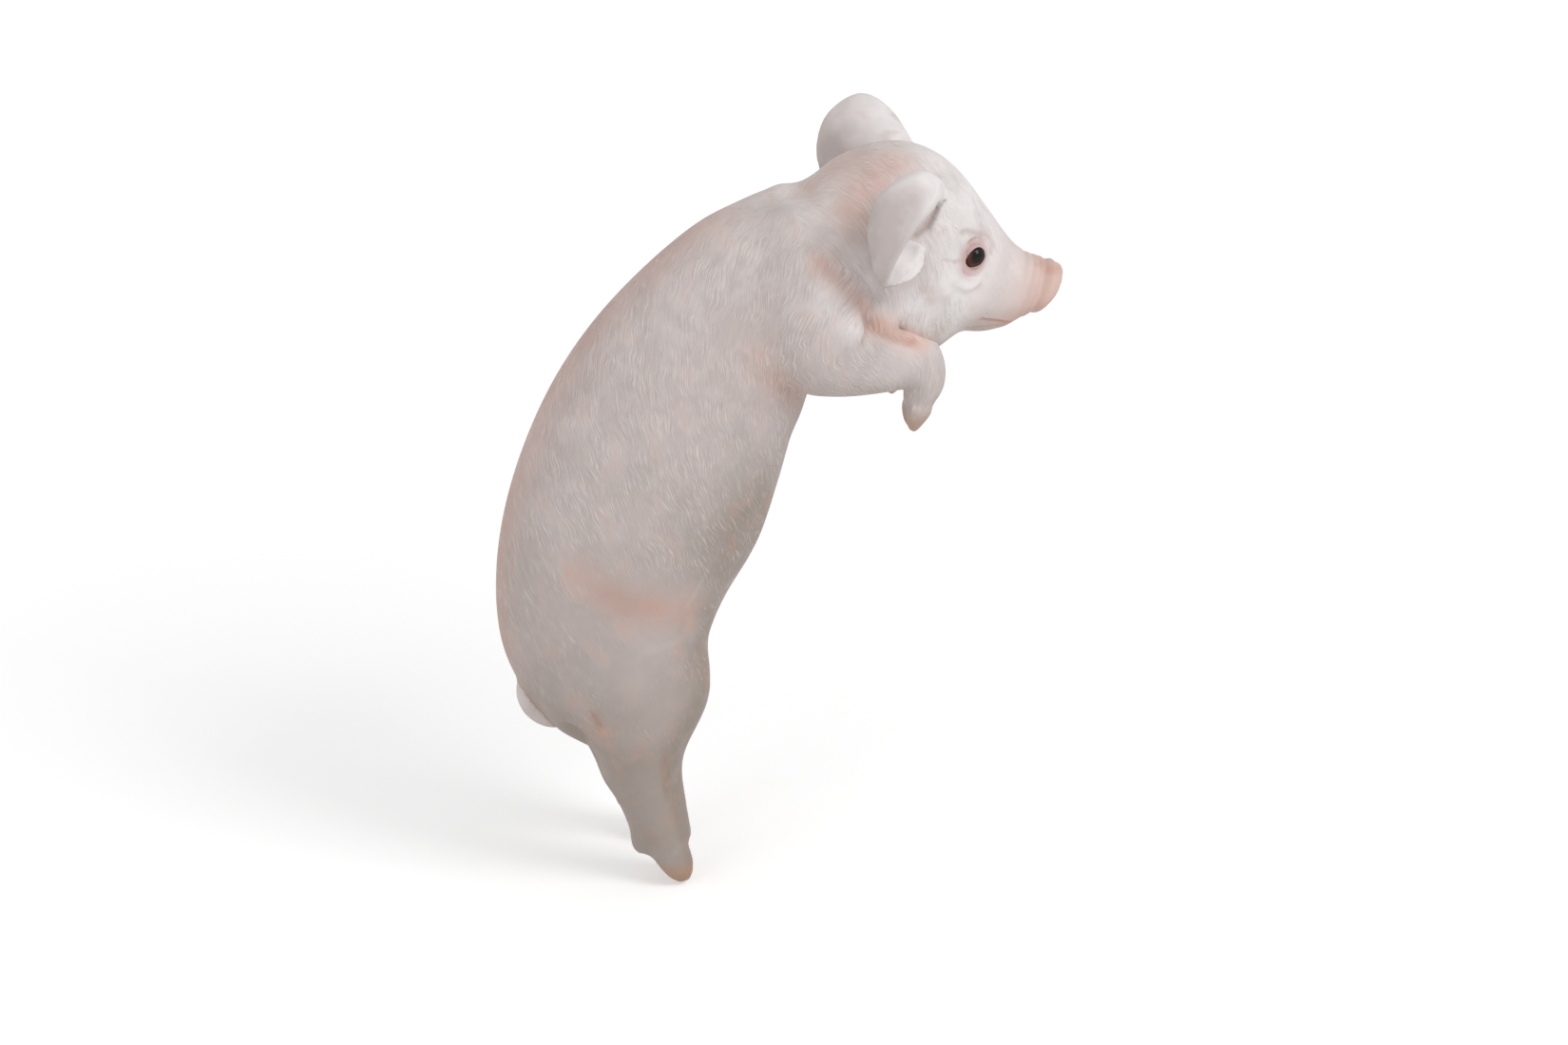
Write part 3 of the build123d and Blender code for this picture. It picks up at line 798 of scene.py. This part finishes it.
    def near_line(self, pixels, width):
        """1 on a line of the photograph and less beside it, on both sides of the pig."""
        places, _ = self.seen(pixels)
        amount = np.zeros(len(self.points))
        for mirror in (1, -1):
            path = mirrored(places, mirror)
            near = within(self.points, path, LINE_REACH * width)
            amount[near] = np.maximum(amount[near], bell(beside(self.points[near], path)[0], width))
        return amount

    def near_place(self, place, radius):
        """1 at a place or its mirror image, and less round them."""
        apart = [np.linalg.norm(self.points - mirrored(place, mirror), axis=1) for mirror in (1, -1)]
        return bell(np.minimum(*apart), radius)

    def near_spot(self, pixel, radius):
        """1 at a pixel of the photograph and less round it, on both sides of the pig."""
        return self.near_place(self.seen([pixel])[0][0], radius)

    def paint_and_painted_light(self, spots=(), lines=()):
        """The paint and painted light that several spots and lines have in all."""
        touches = [strength * self.near_spot(pixel, radius) for pixel, radius, strength in spots]
        touches += [strength * self.near_line(pixels, width) for pixels, width, strength in lines]
        return sum(touches)

    def bared(self, spots, lines=()):
        """The share of a paint or of the hair that several bare spots and lines leave."""
        left = np.ones(len(self.points))
        for pixels, width, strength in lines:
            left *= 1 - strength * self.near_line(pixels, width)
        for pixel, radius, strength in spots:
            left *= 1 - strength * self.near_spot(pixel, radius)
        return left

    def coat(self, name, points):
        """Two coordinates in millimetres for a casting's hair: across its lie and along it."""
        casting, _, side_name = name.partition("_")
        path = mirrored(spline(COAT_LINES[casting], COAT_LINE_POINTS), SIDES.get(side_name, 1))
        _, nearest, best, along = beside(points, path)
        way = unit(path[best + 1] - path[best])
        back = np.cross(way, (0, 1, 0))
        offset = points - nearest
        angle = np.arctan2(np.abs(offset[:, 1]), dot(offset, back))
        return angle * COAT_GIRTHS[casting] + COAT_SLANTS[casting] * along, along

    def piece(self, name, paint):
        """The part of the skin that one casting owns, which keeps the whole skin's normals."""
        corner, start, total = corners_of(self.mesh)
        chosen = self.owner[corner[start]] == self.names.index(name)
        old = corner[np.repeat(chosen, total)]
        used, new = np.unique(old, return_inverse=True)
        counts = total[chosen]
        mesh = bpy.data.meshes.new(f"{name}_skin")
        mesh.vertices.add(len(used))
        mesh.loops.add(len(new))
        mesh.polygons.add(len(counts))
        mesh.vertices.foreach_set("co", (self.points[used] * MM).astype(np.float32).ravel())
        mesh.loops.foreach_set("vertex_index", new.astype(np.int32))
        mesh.polygons.foreach_set("loop_start", (np.cumsum(counts) - counts).astype(np.int32))
        mesh.polygons.foreach_set("use_smooth", np.ones(len(counts), bool))
        fields = {field: values[used] for field, values in paint.items()}
        fields["across"], fields["along"] = self.coat(name, self.points[used])
        for field, values in fields.items():
            write_attribute(mesh, field, values)
        mesh.update(calc_edges=True)
        mesh.normals_split_custom_set_from_vertices(self.normals()[used].tolist())
        return mesh


def sculpted():
    """The whole skin with its folds, wrinkles, snout rings and eyelids."""
    forms = {name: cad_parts[name].data for name in CASTINGS}
    forms["head"] = joined([forms["head"], *(flesh_mesh(side) for side in SIDES.values())])
    forms["ear_right"] = ear_mesh(SIDES["right"])
    forms["ear_left"] = ear_mesh(SIDES["left"])
    skin = Skin(forms)
    # The eyelids are sculpted below, so the casting's own rings and sockets are smoothed away first
    skin.relax(skin.near_eyes(LID_REACH), SOCKET_SMOOTHING_TIMES)
    ahead, _, high = skin.points.T
    face = skin.owned_by("head") & (ahead > FACE_START)
    ears = skin.owned_by("ear_right", "ear_left")
    fore_feet = skin.owned_by("foreleg_right", "foreleg_left") & (high < FORE_FOOT_TOP)
    hind_feet = skin.owned_by("hindleg_right", "hindleg_left") & (high < HIND_FOOT_TOP)
    skin.refine(face | ears | fore_feet | hind_feet, REFINED_SMOOTHING_TIMES)
    skin.refine(skin.near_eyes(EYE_NET_REACH), EYE_REFINED_SMOOTHING_TIMES)
    jowl = skin.near_place(JOWL_PLACE, JOWL_SOFTENING) > JOWL_EDGE
    skin.relax(jowl, JOWL_SMOOTHING_TIMES, JOWL_SMOOTHING)
    skin.slim_fore_feet()
    skin.tilt_snout()
    for nudge in NUDGES:
        skin.nudge(*nudge)
    for ring in SNOUT_RINGS:
        skin.ring(*ring)
    skin.look()
    for swelling in SWELLINGS:
        skin.swell(*swelling)
    for fold in FOLDS:
        skin.carve(*fold)
    for side in SIDES.values():
        skin.lid(side)
    for fold in LID_FOLDS:
        skin.carve(*fold)
    return skin


def paint_of(skin):
    """How much of each paint every point of the skin has."""
    normals = skin.normals()
    ahead, out, high = skin.points.T
    forelegs = skin.owned_by("foreleg_right", "foreleg_left")
    ears = skin.owned_by("ear_right", "ear_left")
    tail = skin.owned_by("tail")
    snout = (skin.points - SNOUT_PLACE) @ SNOUT_AXIS

    # Pale paint on the face, and painted highlights on faces turned up, on the ears, in spots, along the
    # belly's seam and on the tail
    pale = PALE_LEAST + grown(ahead, *FACE_AHEAD) * smooth_step(high, *FACE_HIGH)
    pale += grown(normals[:, 2], *UPWARD_HIGHLIGHT)
    pale += skin.paint_and_painted_light(PAINTED_HIGHLIGHT_SPOTS, SEAM_HIGHLIGHT_LINES)
    pale += ears * grown(normals[:, 2], *EAR_UPWARD_HIGHLIGHT)
    pale += ears * grown(normals[:, 0], *EAR_FORWARD_HIGHLIGHT)
    pale += TAIL_PAINTED_LIGHT * tail

    peach = skin.paint_and_painted_light(PEACH_SPOTS, PEACH_LINES)
    peach += skin.paint_and_painted_light(lines=PEACH_BEHIND_EAR) * ~ears
    faces_spine = SPINE_UP * normals[:, 2] - SPINE_BACK * normals[:, 0]
    spine = smooth_step(faces_spine, *FACING_SPINE) * bell(out, SPINE_WIDTH)
    spine *= skin.owned_by("trunk", "head") * (1 - smooth_step(ahead, *SPINE_END))
    peach += SPINE_PEACH * spine
    # Less peach under the painted highlight on the shoulder's front
    peach *= skin.bared(PEACH_BARE_AT_HIGHLIGHT)
    peach += grown(snout, *BRIDGE_PEACH) + grown(snout, *DISC_PEACH)

    pink = np.zeros(len(skin.points))
    for side in SIDES.values():
        gaze, long_way, short_way = eye_frame(side)
        offset = skin.points - mirrored(EYE_PLACE, side)
        along = (offset @ long_way + EYE_CORNER_SHIFT) / EYE_HALF_LENGTH
        ring = np.hypot(along, offset @ short_way / EYE_HALF_WIDTH)
        on_lid = (offset @ gaze > 0) * skin.near_eyes(LID_PINK_REACH)
        pink = np.maximum(pink, LID_PINK * bell(ring - LID_PINK_RING, LID_PINK_WIDTH) * on_lid)

    # Painted shade towards the bottom, on faces turned down and on the belly's front, and a painted shadow on
    # the belly
    shade = grown(-high, *RUMP_DOWN_SHADE) + grown(-normals[:, 2], *UNDERSIDE_SHADE)
    shade += grown(-high, *BODY_DOWN_SHADE) + skin.paint_and_painted_light(BELLY_SHADOW_SPOTS)
    shade += grown(normals[:, 0], *BELLY_FRONT_SHADE) * smooth_step(-high, *BELLY_FRONT_SHADE_HEIGHTS)
    shade *= np.where(tail, TAIL_SHADE_SHARE, 1.0)

    hairy = np.where(ears, EAR_HAIR_SHARE, 1.0) * skin.bared(HAIR_BARE_SPOTS, HAIR_BARE_LINES)
    hairy *= (1 - grown(snout, *SNOUT_BARE)) * (1 - grown(ahead, *FACE_BARE))
    hairy *= 1 - grown(-high, *RUMP_BARE)

    fore_hoof = forelegs * smooth_step(-high, *FORE_HOOF_DOWN)
    hoof = np.maximum(smooth_step(-high, *HIND_HOOF_DOWN), fore_hoof)
    made = {"pale": pale, "peach": peach, "pink": pink, "shade": shade, "hairy": hairy, "hoof": hoof}
    # The painted shade in the folds
    made["crease_shade"] = skin.crease_shade
    return {name: np.clip(amount, 0, 1) for name, amount in made.items()}


def linear(red, green, blue):
    """A colour as the shader wants it, from the numbers of a colour picker."""
    shares = np.array((red, green, blue)) / 255
    made = np.where(shares <= 0.04045, shares / 12.92, ((shares + 0.055) / 1.055) ** 2.4)
    return (*made, 1)


def node(tree, kind, inputs=None, **settings):
    """A shader node, with its inputs linked or set."""
    made = tree.nodes.new(kind)
    for key, value in settings.items():
        setattr(made, key, value)
    for key, value in (inputs or {}).items():
        if isinstance(value, bpy.types.NodeSocket):
            tree.links.new(value, made.inputs[key])
        else:
            made.inputs[key].default_value = value
    return made


def attribute(tree, name):
    return node(tree, "ShaderNodeAttribute", attribute_name=name).outputs["Fac"]


def maths(tree, operation, a, b=0.0, clamp=False):
    return node(tree, "ShaderNodeMath", {0: a, 1: b}, operation=operation, use_clamp=clamp).outputs[0]


def ranged(tree, value, low, high, to_low=0.0, to_high=1.0):
    inputs = {"Value": value, "From Min": low, "From Max": high, "To Min": to_low, "To Max": to_high}
    return node(tree, "ShaderNodeMapRange", inputs, interpolation_type="SMOOTHSTEP").outputs["Result"]


def mixed(tree, amount, under, over):
    return node(tree, "ShaderNodeMix", {0: amount, 6: under, 7: over}, data_type="RGBA").outputs[2]


def noise(tree, vector, scale, detail=2.0, rough=0.5):
    inputs = {"Vector": vector, "Scale": scale, "Detail": detail, "Roughness": rough}
    return node(tree, "ShaderNodeTexNoise", inputs).outputs["Fac"]


def new_material(name):
    """A material, its node tree and its shader."""
    material = bpy.data.materials.new(name)
    material.use_nodes = True
    return material, material.node_tree, material.node_tree.nodes["Principled BSDF"]


# Paints: the pale one is pale paint and also painted highlight, the shade one is painted shade, and the
# reddish-brown one is painted shade in the folds
BASE = linear(199, 187, 184)
PALE = linear(246, 241, 240)
PEACH = linear(216, 163, 142)
PINK = linear(190, 132, 130)
SHADE = linear(160, 147, 137)
COOL = linear(190, 188, 188)
# Painted shade in the folds
CREASE_SHADE = linear(168, 124, 108)
HAIR_LIGHT = linear(240, 232, 228)
HAIR_DARK = linear(176, 158, 151)
HOOF = linear(186, 150, 124)

# How strongly each paint covers what lies under it
COOL_COVER = 0.3
PEACH_COVER = 0.85
PINK_COVER = 0.75
CREASE_SHADE_COVER = 0.4
HAIR_LIGHT_COVER = 0.4
HAIR_DARK_COVER = 0.35
HOOF_COVER = 0.7

# Noise in the paint: its scales in cells per metre, the parts of its range that are used, and what they add
MOTTLE_SCALE = 45.0
PATCH_SCALE = 90.0
GRAIN_SCALE = 1400.0
MIDDLE = (0.3, 0.7)
COOL_RANGE = (0.52, 0.72)
PALE_UNEVENNESS = (-0.15, 0.15)
SHADE_UNEVENNESS = (-0.12, 0.12)
PEACH_PATCHES = (0.5, 0.8)
PEACH_UNEVENNESS = (0.0, 0.3)

# Hair: its waves and drift, how fine and how short the strokes are, and how evenly they are combed
HAIR_BEND_SCALE = 55.0
HAIR_BEND = 8.0
HAIR_FINENESS = 2.0
HAIR_SHORTNESS = 0.24
HAIR_DRIFT = 20.0
STROKE_SHARE = 0.8
COMB_FINENESS = 4.3
COMB_WANDER_SCALE = 0.35
COMB_WANDER = 12.0
COMB_SHARE = 0.12
TUFT_SCALE = 75.0
TUFT_RANGE = (0.35, 0.65)
TUFT_LEAST = 0.5
HAIR_LIGHT_RANGE = (0.02, 0.18)
HAIR_DARK_RANGE = (-0.02, -0.18)

# The resin's surface: its roughness and gloss, and the relief of hair and grain
ROUGHNESS = (0.5, 0.66)
GLOSS = 0.35
GRAIN_HEIGHT = 0.06
RELIEF = {"Strength": 0.5, "Distance": 0.0008}


def hair_of(tree, place):
    """Fine strokes that lie along the coat, in tufts, between -0.5 and 0.5."""
    bend = maths(tree, "MULTIPLY", noise(tree, place, HAIR_BEND_SCALE, 1.0), HAIR_BEND)
    across = maths(tree, "ADD", attribute(tree, "across"), bend)
    split = node(tree, "ShaderNodeSeparateXYZ", {0: place})
    coordinates = {
        0: maths(tree, "MULTIPLY", across, HAIR_FINENESS),
        1: maths(tree, "MULTIPLY", attribute(tree, "along"), HAIR_SHORTNESS),
        2: maths(tree, "MULTIPLY", split.outputs["Y"], HAIR_DRIFT),
    }
    lie = node(tree, "ShaderNodeCombineXYZ", coordinates).outputs[0]
    strokes = maths(tree, "SUBTRACT", noise(tree, lie, 1.0, 1.5, 0.5), 0.5)
    strokes = maths(tree, "MULTIPLY", strokes, STROKE_SHARE)
    wander = maths(tree, "MULTIPLY", noise(tree, lie, COMB_WANDER_SCALE, 1.0), COMB_WANDER)
    phase = maths(tree, "ADD", maths(tree, "MULTIPLY", across, COMB_FINENESS), wander)
    combed = maths(tree, "MULTIPLY", maths(tree, "SINE", phase), COMB_SHARE)
    hair = maths(tree, "MULTIPLY", maths(tree, "ADD", strokes, combed), attribute(tree, "hairy"))
    tufts = ranged(tree, noise(tree, place, TUFT_SCALE, 1.0), *TUFT_RANGE, TUFT_LEAST, 1.0)
    return maths(tree, "MULTIPLY", hair, tufts)


def painted_resin():
    """Airbrushed zones with painted highlights and painted shade, mottling, painted shade in the folds and a
    dry-brushed coat of fine hair strokes.
    """
    material, tree, shader = new_material("painted_resin")
    place = node(tree, "ShaderNodeTexCoord").outputs["Object"]
    mottle = noise(tree, place, MOTTLE_SCALE, 3.0)
    patches = noise(tree, place, PATCH_SCALE, 2.0)
    grain = noise(tree, place, GRAIN_SCALE, 2.0)
    hair = hair_of(tree, place)

    # An attribute's amount of paint and painted light, made a little uneven by a noise
    def paint_and_painted_light(name, unevenness):
        return maths(tree, "ADD", attribute(tree, name), unevenness, True)

    def covered(under, paint, amount, cover):
        return mixed(tree, maths(tree, "MULTIPLY", amount, cover), under, paint)

    # Pale paint with painted highlights
    pale = paint_and_painted_light("pale", ranged(tree, patches, *MIDDLE, *PALE_UNEVENNESS))
    colour = mixed(tree, pale, BASE, PALE)
    # Painted shade
    shade = paint_and_painted_light("shade", ranged(tree, mottle, *MIDDLE, *SHADE_UNEVENNESS))
    colour = mixed(tree, shade, colour, SHADE)
    colour = mixed(tree, ranged(tree, mottle, *COOL_RANGE, 0.0, COOL_COVER), colour, COOL)
    peach = paint_and_painted_light("peach", ranged(tree, patches, *PEACH_PATCHES, *PEACH_UNEVENNESS))
    colour = covered(colour, PEACH, peach, PEACH_COVER)
    colour = covered(colour, PINK, attribute(tree, "pink"), PINK_COVER)
    # Painted shade in the folds
    colour = covered(colour, CREASE_SHADE, attribute(tree, "crease_shade"), CREASE_SHADE_COVER)
    light_hair = ranged(tree, hair, *HAIR_LIGHT_RANGE, 0.0, HAIR_LIGHT_COVER)
    dark_hair = ranged(tree, hair, *HAIR_DARK_RANGE, 0.0, HAIR_DARK_COVER)
    colour = mixed(tree, light_hair, colour, HAIR_LIGHT)
    colour = mixed(tree, dark_hair, colour, HAIR_DARK)
    colour = covered(colour, HOOF, attribute(tree, "hoof"), HOOF_COVER)
    tree.links.new(colour, shader.inputs["Base Color"])
    tree.links.new(ranged(tree, mottle, *MIDDLE, *ROUGHNESS), shader.inputs["Roughness"])
    shader.inputs["Specular IOR Level"].default_value = GLOSS

    height = maths(tree, "ADD", hair, maths(tree, "MULTIPLY", grain, GRAIN_HEIGHT))
    bump = node(tree, "ShaderNodeBump", {**RELIEF, "Height": height})
    tree.links.new(bump.outputs[0], shader.inputs["Normal"])
    return material


def glass_eye():
    """Glass over a dark brown eye, redder towards its rear corner."""
    material, tree, shader = new_material("glass_eye")
    place = node(tree, "ShaderNodeTexCoord").outputs["Object"]
    streaks = noise(tree, place, 500.0, 3.0)
    rim = ranged(tree, attribute(tree, "rim"), 0.55, 1.0)
    colour = mixed(tree, rim, linear(20, 14, 13), linear(88, 46, 36))
    colour = mixed(tree, maths(tree, "MULTIPLY", streaks, 0.3), colour, linear(34, 22, 18))
    tree.links.new(colour, shader.inputs["Base Color"])
    shader.inputs["Roughness"].default_value = 0.04
    shader.inputs["Specular IOR Level"].default_value = 0.2
    return material


def drawn_steel():
    """Steel with fine lengthwise scratches, for the dowels inside the joints."""
    material, tree, shader = new_material("drawn_steel")
    place = node(tree, "ShaderNodeTexCoord").outputs["Object"]
    stretched = node(tree, "ShaderNodeMapping", {"Vector": place, "Scale": (900.0, 60.0, 900.0)}).outputs[0]
    scratches = noise(tree, stretched, 1.0, 3.0)
    colour = mixed(tree, scratches, linear(150, 150, 153), linear(196, 196, 198))
    tree.links.new(colour, shader.inputs["Base Color"])
    tree.links.new(ranged(tree, scratches, 0.3, 0.7, 0.25, 0.4), shader.inputs["Roughness"])
    shader.inputs["Metallic"].default_value = 1.0
    return material


def eye_mesh(side):
    """A ball with a flat back and a slightly fuller middle, where the cornea is."""
    gaze, long_way, short_way = eye_frame(side)
    local, faces = ball(64, 40, 1)
    full = EYE_RADIUS + EYE_CORNEA * smooth_step(local[:, 2], *EYE_CORNEA_RUN)
    local = local * full[:, None]
    local[:, 2] = np.maximum(local[:, 2], -EYE_BACK)
    turned = local[:, :1] * long_way + local[:, 1:2] * short_way + local[:, 2:] * gaze
    mesh = new_mesh("eye", turned + mirrored(EYE_PLACE, side), faces)
    rim = np.hypot(local[:, 0] / EYE_HALF_LENGTH, local[:, 1] / EYE_HALF_WIDTH)
    rim = rim * (1 - EYE_REAR_SHARE + grown(-local[:, 0], *EYE_REAR_RUN, EYE_REAR_SHARE))
    write_attribute(mesh, "rim", rim)
    mesh.polygons.foreach_set("use_smooth", np.ones(len(mesh.polygons), bool))
    return mesh


def add_piece(name, mesh, material, node_name):
    """A piece of the figurine that stands for a CAD node."""
    piece = new_object(name, mesh)
    mesh.materials.append(material)
    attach(piece, "root")
    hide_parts(node_name)


def add_figurine():
    skin = sculpted()
    paint = paint_of(skin)
    resin = painted_resin()
    for name in skin.names:
        add_piece(f"{name}_skin", skin.piece(name, paint), resin, name)
    glass = glass_eye()
    for name, side in SIDES.items():
        add_piece(f"eye_{name}_glass", eye_mesh(side), glass, f"eye_{name}")
    steel = drawn_steel()
    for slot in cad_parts["limb_dowels"].material_slots:
        slot.material = steel


# Studio: the floor, each lamp's place, size and power, and how bright world and floor are
FLOOR_SIZE = 9000.0
LAMPS = {
    "key": ((1100, -1100, 1400), 900, 15.5),
    "fill": ((-1500, -1400, 600), 1400, 8.0),
}
WORLD_STRENGTH = 0.5
FLOOR_GLOW_NEAR = 0.36
FLOOR_GLOW_FAR = 0.55
FLOOR_GLOW_RUN = (0.3, 1.6)


def seen(tree):
    """1 for what the camera sees, directly or in gloss and glass, and 0 for what lights the object."""
    path = node(tree, "ShaderNodeLightPath").outputs
    mirrored_too = maths(tree, "MAXIMUM", path["Is Glossy Ray"], path["Is Transmission Ray"])
    return maths(tree, "MAXIMUM", path["Is Camera Ray"], mirrored_too)


def floor_paint():
    """A pale floor that keeps its shadows and, to the camera alone, glows up to the backdrop's white."""
    material, tree, shader = new_material("white_floor")
    place = node(tree, "ShaderNodeTexCoord").outputs["Object"]
    away = node(tree, "ShaderNodeVectorMath", {0: place}, operation="LENGTH").outputs["Value"]
    glow = ranged(tree, away, *FLOOR_GLOW_RUN, FLOOR_GLOW_NEAR, FLOOR_GLOW_FAR)
    tree.links.new(maths(tree, "MULTIPLY", glow, seen(tree)), shader.inputs["Emission Strength"])
    shader.inputs["Emission Color"].default_value = (1, 1, 1, 1)
    shader.inputs["Base Color"].default_value = linear(244, 244, 244)
    shader.inputs["Roughness"].default_value = 0.9
    return material


def backdrop():
    """A world that lights at its own strength and that the camera sees as plain white."""
    world = bpy.data.worlds.new("studio")
    world.use_nodes = True
    tree = world.node_tree
    strength = ranged(tree, seen(tree), 0, 1, WORLD_STRENGTH, 1.0)
    tree.nodes["Background"].inputs["Color"].default_value = (1, 1, 1, 1)
    tree.links.new(strength, tree.nodes["Background"].inputs["Strength"])
    return world


def add_studio():
    lowest = cad_box[0].z / MM
    half = FLOOR_SIZE / 2
    corners = [(-half, -half, lowest), (half, -half, lowest), (half, half, lowest), (-half, half, lowest)]
    floor_mesh = new_mesh("floor", corners, [(0, 1, 2, 3)])
    floor_mesh.materials.append(floor_paint())
    new_object("floor", floor_mesh)
    bpy.context.scene.world = backdrop()
    for name, (place, size, energy) in LAMPS.items():
        lamp = bpy.data.lights.new(name, "AREA")
        lamp.energy = energy
        lamp.size = size * MM
        light = bpy.data.objects.new(name, lamp)
        bpy.context.scene.collection.objects.link(light)
        light.location = Vector(place) * MM
        light.rotation_euler = (-light.location).to_track_quat("-Z", "Y").to_euler()


def add_camera():
    data = bpy.data.cameras.new("camera")
    data.lens = CAMERA_LENS
    data.sensor_width = SENSOR_WIDTH
    data.clip_start = 0.1
    data.clip_end = 20
    camera = bpy.data.objects.new("camera", data)
    bpy.context.scene.collection.objects.link(camera)
    camera.location = CAMERA_PLACE * MM
    camera.rotation_euler = Vector(CAMERA_TARGET - CAMERA_PLACE).to_track_quat("-Z", "Y").to_euler()
    bpy.context.scene.camera = camera


add_figurine()
add_studio()
add_camera()
bpy.context.scene.view_settings.view_transform = "Standard"
